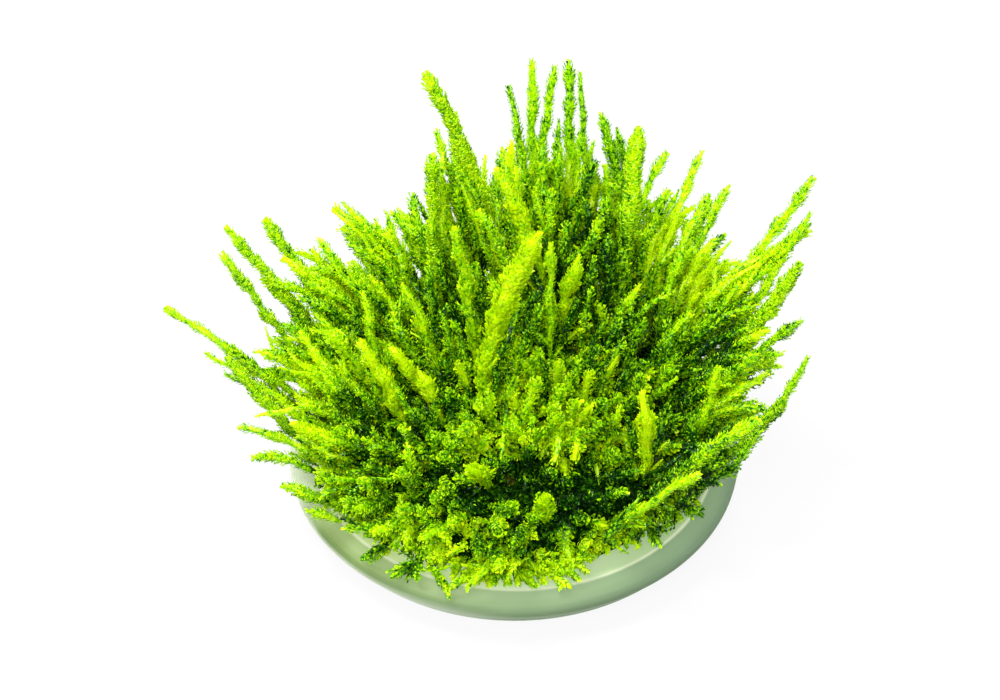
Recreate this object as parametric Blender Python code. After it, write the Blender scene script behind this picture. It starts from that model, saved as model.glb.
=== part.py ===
"""A clump of moss growing on a round disc of translucent nutrient gel.

Units are metres, +Z is up. The origin is the centre of the disc's flat underside, and the
clump's front, where most of the gel shows, faces -Y.
"""

import math
import random

import bmesh
import bpy
from mathutils import Vector
from mathutils.bvhtree import BVHTree

MM = 0.001
UP = Vector((0, 0, 1))
GAP = 0.3 * MM  # clearance kept between neighbouring pieces

# Gel disc: a tapered side, a round shoulder and a low lip around a flat top
DISC_RADIUS = 40 * MM
DISC_FOOT_RADIUS = 35.8 * MM
DISC_CORNER = 1.5 * MM
DISC_SIDE_TOP = 5.2 * MM
LIP_RADIUS = 35.6 * MM
LIP_HEIGHT = 7.5 * MM
DISC_TOP = 7.0 * MM
DISC_STEPS = 40
SHARP_ANGLE = math.radians(40)

# Moss mat: a cushion of lower stems with a flat underside
MAT_BASE = DISC_TOP + GAP
MAT_RADIUS = 36 * MM
MAT_EDGE_HEIGHT = 2.2 * MM
MAT_DOME_HEIGHT = 12 * MM
MAT_STEPS = 24
# Hills on the dome: height, centre x, centre y and reach. The last is the hollow in front.
MAT_HILLS = [
    (12 * MM, 5 * MM, 15 * MM, 18 * MM),
    (2 * MM, 3 * MM, -6 * MM, 9 * MM),
    (-6 * MM, 5 * MM, -21 * MM, 7 * MM),
]

# Short shoots, fused with the mat
SHORT_COUNT = 220
SHORT_WIDTH = 2.9 * MM
SHORT_RINGS = 3
SHORT_ROOT_DEPTH = 3 * MM
SHORT_LENGTH = 7 * MM
TALL_EXTRA = 13 * MM  # at the tallest place, behind the middle
TALL_CENTRE = (6 * MM, 18 * MM)
TALL_REACH = 18 * MM
EDGE_EXTRA = 7 * MM  # at the edge, behind
MIDDLE_LEAN = math.radians(8)
EDGE_LEAN = math.radians(48)
FRONT_LEAN = math.radians(16)  # more at the front edge
GOLDEN_ANGLE = math.pi * (3 - math.sqrt(5))
SEED = 11

# Every shoot
SIDES = 5
LONG_RINGS = 7
FOOT_SHARE = 0.45  # the foot's radius, as a share of the full one
THIN_TIER_SHARE = 0.74
RING_CROWDING = 1.4  # above 1, the rings lie closer together towards the tip

# Long shoots in millimetres: root on the gel (x, y), a point that the shoot passes
# through, its tip, and its width over the leaves.
LONG_SHOOTS = {
    "back": [
        ((-4, 12), (-8, 18, 56), (-15, 22, 71), 3.2),
        ((2, 16), (1, 24, 55), (-1, 28, 64), 2.1),
        ((2, 22), (3.2, 30, 57.6), (3, 32, 67), 1.7),
        ((6, 17), (5, 26, 54), (7, 30, 67), 1.8),
        ((9, 24), (9.7, 30, 56), (9.3, 34, 65), 1.9),
        ((11, 17), (12, 24, 54), (11, 27, 68), 1.7),
        ((16, 19), (18.3, 26, 45), (15, 30, 57), 2.0),
        ((21, 24), (20, 30, 43), (18, 33, 52), 1.7),
        ((16, 8), (20, 16, 51), (21, 20, 61), 3.4),
        ((-12, 8), (-14, 14, 46), (-14, 18, 57), 2.4),
        ((-16, 18), (-23, 23, 34), (-32, 26, 39), 1.9),
    ],
    "middle": [
        ((1, 4), (-2, 8, 44), (-6, 10, 51), 2.6),
        ((-7, -2), (-8, 0, 42), (-10, 2, 54), 2.6),
        ((4, 9), (1, 10, 50), (-3, 14, 57), 2.8),
        ((-6, -10), (-2, -6, 44), (4, -4, 58), 3.4),
        ((7, -4), (6, 0, 40), (6, 2, 51), 1.6),
        ((11, 1), (9, 4, 38), (11, 5, 46), 2.2),
        ((-13, 0), (-16, 2, 34), (-19, 4, 40), 1.8),
        ((-22, 2), (-25, 4, 31), (-26, 6, 37), 1.7),
        ((-17, -8), (-21, -7, 25), (-26, -4, 34), 2.6),
        ((-14, -5), (-17, -4, 26), (-21, -2, 31), 2.5),
        ((-11, -10), (-13, -9, 23), (-16, -7, 30), 2.4),
    ],
    "right": [
        ((22, 16), (21.5, 21, 43), (26.5, 26, 51.5), 1.7),
        ((23, 12), (29.5, 20, 47.5), (32.5, 24, 53.5), 1.7),
        ((27, 9), (30.5, 13, 46), (33, 16, 50), 1.8),
        ((26, 20), (34, 24, 36), (38, 27, 43.5), 1.7),
        ((26, 7), (45, 14, 44), (51, 18, 52), 2.2),
        ((28, 2), (45, 8, 41), (50, 10, 51), 1.9),
        ((26, -2), (42, 2, 33.5), (48, 4, 44.5), 3.3),
        ((27, -5), (43, -6, 36), (48, -5, 40), 2.1),
        ((25, -14), (43, -14, 27), (48, -14, 40), 1.8),
        ((20, -20), (31, -22, 25), (40, -20, 31), 2.8),
        ((14, -26), (22, -30, 22), (30, -30, 29), 2.1),
        ((29, -11), (33, -11, 28), (34, -10, 34), 2.3),
        ((21, -17), (22, -18, 26), (21, -16, 34), 2.4),
    ],
    "left": [
        ((-27, -2), (-44, 1, 23), (-60, 6, 33), 2.0),
        ((-27, -8), (-41, -6, 19.5), (-49, -4, 31), 1.9),
        ((-28, -13), (-39, -13, 20), (-47, -12, 22), 1.7),
        ((-24, -20), (-33, -22, 15), (-39, -22, 18), 1.9),
        ((-25, 8), (-41, 14, 30), (-50, 18, 41), 2.4),
        ((-28, 4), (-43, 8, 30), (-50, 10, 42), 1.9),
        ((-23, 13), (-37, 20, 28), (-44, 24, 38), 2.6),
        ((-24, -13), (-31, -14, 20), (-38, -13, 24), 2.4),
    ],
    "front": [
        ((-4, -18), (-5, -22, 19), (-8, -25, 25), 2.6),
        ((4, -25), (5, -28, 17), (5, -30, 24), 1.8),
        ((-15, -19), (-17, -22, 17), (-19, -24, 24), 2.1),
    ],
    "rear": [
        ((-8, 26), (-10, 35, 34), (-11, 41, 44), 2.2),
        ((4, 28), (4, 38, 33), (3, 45, 42), 2.4),
        ((14, 26), (17, 35, 32), (19, 41, 43), 2.1),
        ((23, 20), (31, 30, 24), (36, 36, 33), 2.4),
        ((-19, 22), (-26, 31, 20), (-31, 36, 27), 2.3),
    ],
}


def clear_scene():
    for item in list(bpy.data.objects):
        bpy.data.objects.remove(item, do_unlink=True)


def material(name, colour, roughness, alpha=1.0):
    result = bpy.data.materials.new(name)
    result.use_nodes = True
    shader = result.node_tree.nodes["Principled BSDF"]
    shader.inputs["Base Color"].default_value = (*colour, 1)
    shader.inputs["Roughness"].default_value = roughness
    shader.inputs["Metallic"].default_value = 0
    shader.inputs["Alpha"].default_value = alpha
    return result


def gel_material():
    return material("gel", (0.55, 0.68, 0.48), 0.25, alpha=0.8)


def mat_material():
    return material("moss lower stems", (0.06, 0.20, 0.01), 0.7)


def shoot_material():
    return material("moss shoots", (0.25, 0.55, 0.01), 0.6)


def finish(bm, name, look, smooth=False):
    """Turns a bmesh into a named object with its faces pointing out."""
    bmesh.ops.recalc_face_normals(bm, faces=bm.faces)
    mesh = bpy.data.meshes.new(name)
    bm.to_mesh(mesh)
    bm.free()
    if smooth:
        mesh.shade_smooth()
        mesh.set_sharp_from_angle(angle=SHARP_ANGLE)
    mesh.materials.append(look)
    result = bpy.data.objects.new(name, mesh)
    bpy.context.collection.objects.link(result)
    return result


def turned(profile, steps):
    """Spins a profile of (radius, height) points, from axis to axis, into a closed body."""
    bm = bmesh.new()
    points = [bm.verts.new((radius, 0, height)) for radius, height in profile]
    edges = [bm.edges.new(pair) for pair in zip(points, points[1:])]
    geometry = points + edges
    bmesh.ops.spin(bm, geom=geometry, axis=UP, cent=(0, 0, 0), angle=math.tau, steps=steps, use_merge=True)
    bmesh.ops.remove_doubles(bm, verts=bm.verts, dist=0.01 * MM)
    return bm


def arc(centre_radius, centre_height, radius, first, last, count):
    """Profile points on an arc, whose angles are in degrees from the outward direction."""
    angles = [math.radians(first + (last - first) * i / (count - 1)) for i in range(count)]
    return [(centre_radius + radius * math.cos(a), centre_height + radius * math.sin(a)) for a in angles]


def gel_disc():
    corner = arc(DISC_FOOT_RADIUS, DISC_CORNER, DISC_CORNER, -90, -25, 4)
    shoulder = [
        (DISC_RADIUS, DISC_SIDE_TOP),
        (DISC_RADIUS - 0.4 * MM, DISC_SIDE_TOP + 0.9 * MM),
        (DISC_RADIUS - 1.5 * MM, DISC_SIDE_TOP + 1.6 * MM),
    ]
    lip = [
        (LIP_RADIUS + 0.7 * MM, LIP_HEIGHT - 0.1 * MM),
        (LIP_RADIUS, LIP_HEIGHT),
        (LIP_RADIUS - 0.9 * MM, DISC_TOP + 0.1 * MM),
        (LIP_RADIUS - 2 * MM, DISC_TOP),
    ]
    profile = [(0, 0)] + corner + shoulder + lip + [(0, DISC_TOP)]
    return finish(turned(profile, DISC_STEPS), "gel_disc", gel_material(), smooth=True)


def bump(x, y, centre_x, centre_y, reach):
    """A round hill of height 1 that fades to 0 at about twice its reach."""
    distance = math.hypot(x - centre_x, y - centre_y)
    return math.exp(-((distance / reach) ** 2))


def mat_height(x, y):
    """Height of the cushion over its base."""
    share = min(1, math.hypot(x, y) / MAT_RADIUS)
    height = MAT_EDGE_HEIGHT + MAT_DOME_HEIGHT * math.sqrt(1 - share**2)
    return height + sum(rise * bump(x, y, *place) for rise, *place in MAT_HILLS)


def mat_outline(angle):
    """The cushion's share of MAT_RADIUS at an angle: wavy, and drawn in at the front."""
    wave = 0.03 * math.sin(3 * angle + 1) + 0.025 * math.sin(7 * angle)
    return 1 + wave - 0.07 * max(0, -math.sin(angle))


def mat_cushion():
    """The cushion without its short shoots, as a bmesh."""
    edge_top = MAT_BASE + MAT_EDGE_HEIGHT
    under = [(MAT_RADIUS * share, MAT_BASE) for share in (0, 0.55, 0.88)]
    over = [(MAT_RADIUS * share, 2 * edge_top) for share in (0.93, 0.75, 0.5, 0.25, 0)]
    bm = turned(under + [(MAT_RADIUS, edge_top)] + over, MAT_STEPS)
    for vert in bm.verts:
        x, y = vert.co.x, vert.co.y
        if vert.co.z > edge_top:
            vert.co.z = MAT_BASE + mat_height(x, y)
        share = mat_outline(math.atan2(y, x))
        vert.co.x = x * share
        vert.co.y = y * share
    bmesh.ops.recalc_face_normals(bm, faces=bm.faces)
    return bm


def curve_through(root, through, tip):
    """A quadratic curve from root to tip that passes through a point, as a function of 0 to 1."""
    lower = (through - root).length
    u = lower / (lower + (tip - through).length)
    control = (through - (1 - u) ** 2 * root - u**2 * tip) / (2 * u * (1 - u))
    return lambda t: (1 - t) ** 2 * root + 2 * t * (1 - t) * control + t**2 * tip


def shoot_radius(share, width, tier):
    """Half the width at a share of the length: a narrow foot, a full body and a blunt tip."""
    body = min(1, FOOT_SHARE + 2.2 * share) * min(1, 0.35 + 5 * (1 - share))
    return width / 2 * body * (1 if tier % 2 else THIN_TIER_SHARE)


def grow_shoot(bm, route, width, rings):
    """Extrudes a five-sided shoot along a route, thick and thin by turns like tiers of leaves."""
    shares = [1 - (1 - i / rings) ** RING_CROWDING for i in range(rings + 1)]
    points = [route(share) for share in shares]
    foot = bmesh.ops.create_circle(bm, cap_ends=True, segments=SIDES, radius=1)["verts"]
    face = foot[0].link_faces[0]
    heading, centre, size = UP, Vector(), 1
    for tier in range(rings):
        if tier == 1:
            geometry = [face, *face.edges]
            grown = bmesh.ops.extrude_face_region(bm, geom=geometry, use_keep_orig=True)["geom"]
            face = next(item for item in grown if isinstance(item, bmesh.types.BMFace))
        elif tier > 1:
            face = bmesh.ops.extrude_discrete_faces(bm, faces=[face])["faces"][0]
        ahead = (points[tier + 1] - points[max(tier - 1, 0)]).normalized()
        turn = heading.rotation_difference(ahead)
        radius = shoot_radius(shares[tier], width, tier)
        for vert in face.verts:
            vert.co = points[tier] + turn @ (vert.co - centre) * (radius / size)
        heading, centre, size = ahead, points[tier], radius
    face = bmesh.ops.extrude_discrete_faces(bm, faces=[face])["faces"][0]
    bmesh.ops.pointmerge(bm, verts=list(face.verts), merge_co=points[rings])


def clear_share(route, width, cushion):
    """How far up its route a long shoot comes clear of the cushion."""
    steps = 100
    needed = FOOT_SHARE * width / 2 + GAP
    for i in range(steps, 0, -1):
        point = route(i / steps)
        nearest, normal, _, distance = cushion.find_nearest(point)
        if distance < needed or (point - nearest).dot(normal) < 0:
            return (i + 1) / steps
    return 0


def long_shoot(row, cushion):
    """The route of a long shoot above the cushion, and its width."""
    root, through, tip, width = row
    start = Vector((*root, 0)) * MM + UP * DISC_TOP
    whole = curve_through(start, Vector(through) * MM, Vector(tip) * MM)
    clear = clear_share(whole, width * MM, cushion)
    return lambda t: whole(clear + (1 - clear) * t), width * MM


def apart(route, other, clearance):
    """Whether two routes stay further apart than a clearance."""
    samples = 12
    own = [route(i / samples) for i in range(samples + 1)]
    others = [other(i / samples) for i in range(samples + 1)]
    for point in own:
        for lower, upper in zip(others, others[1:]):
            step = upper - lower
            share = max(0, min(1, (point - lower).dot(step) / step.length_squared))
            if (point - lower - share * step).length < clearance:
                return False
    return True


def short_route(x, y, stretch, rng):
    """A short shoot that fans out from the clump's middle and is longer towards the back."""
    radius = math.hypot(x, y)
    edge = (radius / MAT_RADIUS) ** 2
    outward = Vector((x, y, 0)) / radius
    front = 0.5 - 0.5 * outward.y
    lean = MIDDLE_LEAN + edge * (EDGE_LEAN + FRONT_LEAN * front) + rng.uniform(-0.12, 0.12)
    direction = outward * math.sin(lean) + UP * math.cos(lean)
    direction += UP.cross(outward) * rng.uniform(-0.2, 0.2)
    direction.normalize()
    extra = TALL_EXTRA * bump(x, y, *TALL_CENTRE, TALL_REACH) + EDGE_EXTRA * edge * (1 - front)
    length = (SHORT_LENGTH + extra) * stretch * rng.uniform(0.85, 1.25)
    root = Vector((x, y, MAT_BASE + mat_height(x, y))) - direction * SHORT_ROOT_DEPTH
    tip = root + direction * (length + SHORT_ROOT_DEPTH)
    rise = UP * length * rng.uniform(-0.02, 0.1)
    return curve_through(root, (root + tip) / 2 + rise, tip)


def short_shoots(long_ones):
    """Short shoots on sunflower spacing that keep clear of the long ones and each other.

    Where a whole one has no room, a stubby one is tried.
    """
    rng = random.Random(SEED)
    kept = []
    for i in range(SHORT_COUNT):
        angle = i * GOLDEN_ANGLE
        radius = MAT_RADIUS * 0.97 * mat_outline(angle) * math.sqrt((i + 0.5) / SHORT_COUNT)
        width = SHORT_WIDTH * rng.uniform(0.8, 1.1)
        for stretch in (1, 0.55):
            route = short_route(radius * math.cos(angle), radius * math.sin(angle), stretch, rng)
            clear_of_long = all(apart(route, other, (width + w) / 2 + 2 * GAP) for other, w in long_ones)
            if clear_of_long and all(apart(route, other, (width + w) / 2) for other, w in kept):
                kept.append((route, width))
                break
    return kept


def moss_mat(cushion, shoots):
    """The cushion with its short shoots, joined in one body."""
    sprigs = bmesh.new()
    for route, width in shoots:
        grow_shoot(sprigs, route, width, SHORT_RINGS)
    look = mat_material()
    mat = finish(cushion, "moss_mat", look)
    tool = finish(sprigs, "short_shoots", look)
    tool.hide_render = True
    tool.display_type = "WIRE"
    join = mat.modifiers.new("join short shoots", "BOOLEAN")
    join.operation = "UNION"
    join.solver = "EXACT"
    join.object = tool
    return mat


def build():
    clear_scene()
    gel_disc()
    cushion = mat_cushion()
    surface = BVHTree.FromBMesh(cushion)
    long_ones = {}
    for group, rows in LONG_SHOOTS.items():
        for number, row in enumerate(rows, 1):
            long_ones[f"shoot_{group}_{number}"] = long_shoot(row, surface)
    moss_mat(cushion, short_shoots(long_ones.values()))
    look = shoot_material()
    for name, (route, width) in long_ones.items():
        bm = bmesh.new()
        grow_shoot(bm, route, width, LONG_RINGS)
        finish(bm, name, look)


build()
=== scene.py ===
"""Looks of the moss clump: leafy shoots over a dark cushion, on a disc of cloudy green gel.

Units are metres, +Z is up, and the front, where most of the gel shows, faces -Y.
"""

import math

import bpy
import numpy as np
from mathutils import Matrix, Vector
from mathutils.bvhtree import BVHTree


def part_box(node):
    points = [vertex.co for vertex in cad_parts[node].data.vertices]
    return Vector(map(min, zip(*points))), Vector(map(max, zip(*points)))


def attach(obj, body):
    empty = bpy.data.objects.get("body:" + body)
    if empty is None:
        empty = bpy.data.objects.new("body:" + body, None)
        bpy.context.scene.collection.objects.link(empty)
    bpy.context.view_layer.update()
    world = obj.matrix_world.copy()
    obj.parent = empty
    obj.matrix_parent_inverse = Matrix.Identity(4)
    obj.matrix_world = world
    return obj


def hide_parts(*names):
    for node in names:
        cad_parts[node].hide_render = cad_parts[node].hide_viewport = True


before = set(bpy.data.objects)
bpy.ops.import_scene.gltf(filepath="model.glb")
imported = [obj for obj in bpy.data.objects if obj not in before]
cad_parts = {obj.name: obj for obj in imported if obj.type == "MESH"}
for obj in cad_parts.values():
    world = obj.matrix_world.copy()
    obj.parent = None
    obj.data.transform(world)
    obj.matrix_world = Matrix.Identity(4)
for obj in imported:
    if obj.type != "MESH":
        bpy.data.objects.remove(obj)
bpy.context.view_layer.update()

MM = 0.001
UP = np.array([0.0, 0.0, 1.0])
GOLDEN_ANGLE = math.pi * (3 - math.sqrt(5))

# The photograph's view
CAMERA_ELEVATION = math.radians(42)
CAMERA_FIELD = math.radians(25)
CAMERA_TARGET = Vector((-2.47, 0, 28.83)) * MM
CAMERA_DISTANCE = 387.76 * MM

# The clump's middle, from which shoots fan out, and the hollow in front of it
MIDDLE = np.array([3.0, 4.0]) * MM
HOLLOW = np.array([7.0, -21.5]) * MM
HOLLOW_REACH = np.array([17.0, 6.5]) * MM

# How far out the moss reaches over the gel: angle in degrees, radius in millimetres
EDGE_ANGLES = (-168, -156, -147, -136, -122, -113, -99, -90, -78, -64, -57, -45, -28, -10)
EDGE_RADII = (41, 40.6, 37.6, 36.3, 36.4, 36, 35.8, 34.9, 35.7, 33, 32.7, 35.2, 36.2, 39.4)
EDGE_MARGIN = 0.2

# Leaves: slivers made from a ring with three equal sides
RING_RADIUS = 0.577  # makes the ring's sides 1 long
LEAF_WIDTH = 0.66  # a leaf's width, as a share of its length
LEAF_FLATTENING = 0.16  # what the ring's depth is scaled by
LEAF_CURVE = 0.14  # how far a leaf curves in at its tip, as a share of its length
SHORTEST_LEAF = 0.45 * MM
FEWEST_LEAVES = 8  # on a shoot
TIP_ANGLE = math.radians(14)  # between leaf and stem, at a shoot's tip
FLATNESS = 0.72  # how far leaves on the flat faces stand out, against those at the sides

# How wide a shoot is along its length, as shares of its full width, before its tip narrows
FORM_PLACES = (0.0, 0.12, 0.3, 0.6, 0.85, 1.0)
SLENDER_FORM = (0.6, 0.85, 1.0, 1.0, 0.95, 0.85)
CLUB_FORM = (0.35, 0.5, 0.75, 1.0, 0.9, 0.65)
BUSHY_FORM = (0.45, 0.8, 1.0, 0.95, 0.9, 0.8)
SAMPLES = np.linspace(0, 1, 80)  # shares of the length where the form is measured
SHOOT_DEPTH = 0.75  # a shoot's depth, as a share of its width
KNOB_LENGTH = 1.5 * MM  # from one thick or thin place to the next
TIP_LENGTH = 2.6 * MM  # over which a shoot narrows to its tip
CLOSING_LENGTH = 2.2 * MM  # over which its leaves close up towards the tip
TIP_LIGHT = 0.3  # how much lighter a shoot is at its tip than at its foot
OWN_TONE_PLACE = 0.62  # the share of its length where a shoot has its own tone

# A shoot's centreline
LINE_POINTS = 28
BEND_LENGTH = 9 * MM  # from one slight bend to the next
FACE_FRONT = 12 * MM  # how far the flat faces are turned to the front and up
FACE_UP = 4 * MM

# How a shoot is clothed: leaves per square millimetre of its outline's skin, their angle in
# degrees, how uneven leaves and tones are, the inner body's share of the width, the knobs, the
# body's sides and the distance between its rings, and the longest leaf
PLUMP = {
    "form": CLUB_FORM, "density": 3.1, "angle": 46, "uneven": 0.24, "tones": 0.15,
    "core": 0.62, "knobs": 0.38, "sides": 7, "step": 1.3 * MM, "longest": 1.25 * MM,
}
SLIM = {
    "form": SLENDER_FORM, "density": 2.5, "angle": 44, "uneven": 0.17, "tones": 0.16,
    "core": 0.66, "knobs": 0.32, "sides": 6, "step": 1.3 * MM, "longest": 0.95 * MM,
}
BUSHY = {
    "form": BUSHY_FORM, "density": 1.55, "angle": 48, "uneven": 0.22, "tones": 0.18,
    "core": 0.6, "knobs": 0.4, "sides": 6, "step": 1.3 * MM, "longest": 0.9 * MM,
}
SPARSE = {
    "form": BUSHY_FORM, "density": 1.35, "angle": 50, "uneven": 0.26, "tones": 0.18,
    "core": 0.5, "knobs": 0.36, "sides": 4, "step": 1.9 * MM, "longest": 0.8 * MM,
}
SPRAY = {
    "form": SLENDER_FORM, "density": 2.0, "angle": 34, "uneven": 0.15, "tones": 0.12,
    "core": 0.3, "knobs": 0.1, "sides": 4, "step": 1.9 * MM, "longest": 1.1 * MM,
}

# Side shoots: their lengths in widths of the shoot that they grow on, how far they lean out
# against it, and their widths as shares of its own
SIDE_LENGTHS = (1.0, 2.4)
SIDE_LEANS = (0.6, 1.1)
SIDE_WIDTHS = (0.55, 0.8)

# Shoots that stand beside another one: their lengths as shares of its own, the middle of
# their tones, how far apart they stand in millimetres, how far they turn away, and their style
CROWD = {"lengths": (0.36, 0.68), "tone": 0.52, "apart": (1.6, 3.6), "spread": 0.12, "style": BUSHY}
YOUNG = {"lengths": (0.6, 1.05), "tone": 0.5, "apart": (1.5, 3.4), "spread": 0.32, "style": SPARSE}

# Widths of shoots in millimetres
COMPANION_WIDTHS = (1.7, 2.8)
TUFT_WIDTHS = (1.9, 3.0)
SPRIG_WIDTHS = (1.5, 2.3)
RIM_WIDTHS = (1.4, 2.1)
SHORT_SHOOT_WIDTH = 2.6
TUFT_SIDE_WIDTH = 1.9
WIDEST_SIDE_BASE = 2.2  # the greatest width that a long shoot's side shoots are sized by
LEAFY_WIDENING = 1.22  # a long shoot's width over its leaves, against its solid's

# Sprigs: how many, and their places and lengths in millimetres
SPRIG_COUNT = 1120
SPRIG_REACH = 35.5
SPRIG_LENGTHS = (3.0, 6.0)
HOLLOW_SHORTENING = 0.55  # what a sprig's length is scaled by in the hollow
RIM_COUNT = 270
RIM_LENGTHS = (3.5, 7.0)
RIM_CLEARANCE = 0.7  # between the gel's top and a sprig's tip
SPRAY_ROOT_LEVEL = 10.0
SPRAY_SIDE_PLACES = (0.15, 0.3, 0.45, 0.6)

# Tufts, in millimetres and shares of a shoot's length
TUFT_SCATTER = 2  # how far a shoot's foot is from the tuft's root
TUFT_START = 0.25  # where a shoot begins on the line from its foot
TUFT_BOW = 0.2
TUFT_WOBBLE = 0.45
LOW_TIPS = 15  # tips that are lower than this stay within the moss's edge

# The dark tangle under the shoots, near black: its own dark colour deepened by painted shade
TANGLE_RADIUS = 31.5 * MM
TANGLE_DEPTH = 0.8 * MM  # below the mat's surface

# Tones of shoots, from 0, dark green, to 1, yellow-green. Those of the mat's shoots and sprigs
# are given outside the hollow and in it, where the lower tone is painted shade
SHORT_SHOOT_TONES = (0.54, 0.3)
SPRIG_TONES = (0.46, 0.14)
RIM_TONE = 0.58
TONE_RANGE = (-0.22, 0.25)  # about the middle of a group's tones
BRIGHT_SHARE = 0.08  # the share of a group's shoots that have the bright tone
BRIGHT_TONE = 0.95
LEFT_PAINTED_LIGHT = 0.12  # painted light: how much lighter moss is made at the left
LEFT_START = 12 * MM  # where that begins, out from the middle
RIGHT_PAINTED_SHADE = 0.06  # painted shade: how much darker moss is made at the right
SIDE_REACH = 20 * MM  # over which both come in
PLUMP_TONE = 0.7  # long shoots that are set lighter are plump, and get no painted light or shade
COMMON_TONE = 0.6  # the middle of the tones of the long shoots that aren't listed
LONG_SHOOT_TONES = {
    "shoot_back_1": 0.7,
    "shoot_back_9": 0.7,
    "shoot_middle_2": 0.76,
    "shoot_middle_3": 0.92,
    "shoot_middle_4": 0.98,
    "shoot_middle_5": 0.8,
    "shoot_middle_6": 0.9,
    "shoot_middle_7": 0.78,
    "shoot_middle_9": 1.0,
    "shoot_middle_10": 0.98,
    "shoot_middle_11": 0.98,
    "shoot_right_5": 0.68,
    "shoot_right_6": 0.68,
    "shoot_right_7": 0.68,
    "shoot_right_10": 0.66,
    "shoot_right_11": 0.76,
    "shoot_right_12": 0.74,
    "shoot_right_13": 1.0,
    "shoot_left_1": 0.7,
    "shoot_left_2": 0.66,
    "shoot_left_3": 0.66,
    "shoot_left_4": 0.64,
    "shoot_left_5": 0.68,
    "shoot_left_6": 0.7,
    "shoot_left_7": 0.66,
    "shoot_left_8": 1.0,
    "shoot_front_1": 0.95,
    "shoot_front_2": 0.8,
}

# Painted light and shade: places where the moss is made lighter, as on sunlit ledges, or
# darker, as in shaded gaps; the place and how far it reaches, in millimetres, and by how much
PAINTED_LIGHT_AND_SHADE = [
    ((26, 15, 38), 7, 0.2),
    ((33, 12, 34), 6, 0.14),
    ((40, 9, 36), 9, 0.22),
    ((31, 13, 46), 6, 0.14),
    ((-4, 22, 45), 6, 0.22),
    ((8, 26, 47), 6, 0.22),
    ((-6, 16, 53), 5, 0.24),
    ((10, 24, 46), 5, 0.24),
    ((-36, -2, 24), 6, 0.26),
    ((-36, -14, 18), 5, 0.2),
    ((-26, 20, 40), 8, 0.14),
    ((-31, 13, 33), 6, 0.12),
    ((28, 20, 44), 5, 0.2),
    ((2, -12, 26), 6, 0.3),
    ((10, -15, 23), 5, 0.14),
    ((-6, -16, 23), 5, 0.24),
    ((-9, -31, 13), 5, 0.28),
    ((-9, -34, 12), 6, 0.22),
    ((4, -34, 11), 7, 0.22),
    ((14, -29, 12), 5, 0.4),
    ((21, -15, 22), 4, 0.24),
    ((19, -26, 20), 4, 0.16),
    ((36, -12, 26), 5, 0.2),
    ((28, 6, 33), 5, 0.14),
    ((-12, -21, 18), 4, -0.38),
    ((-28, -14, 19), 4, -0.2),
    ((-25, -15, 22), 5, -0.22),
    ((-24, -26, 16), 5, -0.18),
    ((-11, -27, 20), 4, -0.34),
    ((-3, -34, 19), 4, -0.36),
    ((15, -15, 26), 4, -0.2),
    ((-33, 3, 27), 4, -0.12),
    ((36, 4, 34), 5, -0.2),
    ((30, -17, 21), 7, -0.34),
    ((28, -20, 22), 4, -0.24),
    ((33, 2, 27), 7, -0.32),
    ((35, -2, 29), 4, -0.24),
    ((14, 14, 42), 5, -0.34),
    ((10, 6, 38), 6, -0.38),
    ((18, 8, 32), 5, -0.28),
    ((-10, 2, 35), 6, -0.46),
    ((-12, -6, 26), 5, -0.34),
    ((-18, -13, 23), 5, -0.34),
    ((-10, 4, 30), 4, -0.24),
    ((-31, 10, 28), 4, -0.24),
    ((-26, -6, 23), 5, -0.24),
    ((-27, -20, 17), 5, -0.28),
    ((-3, -20, 21), 3, -0.24),
    ((2, -21, 18), 4, -0.4),
    ((11, -24, 15), 5, -0.44),
    ((-10, -24, 17), 3, -0.3),
    ((-5, -25, 18), 3, 0.2),
    ((1, -27, 17), 3, 0.2),
    ((20, -22, 17), 5, -0.14),
    ((22, 2, 30), 5, -0.16),
]

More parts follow.
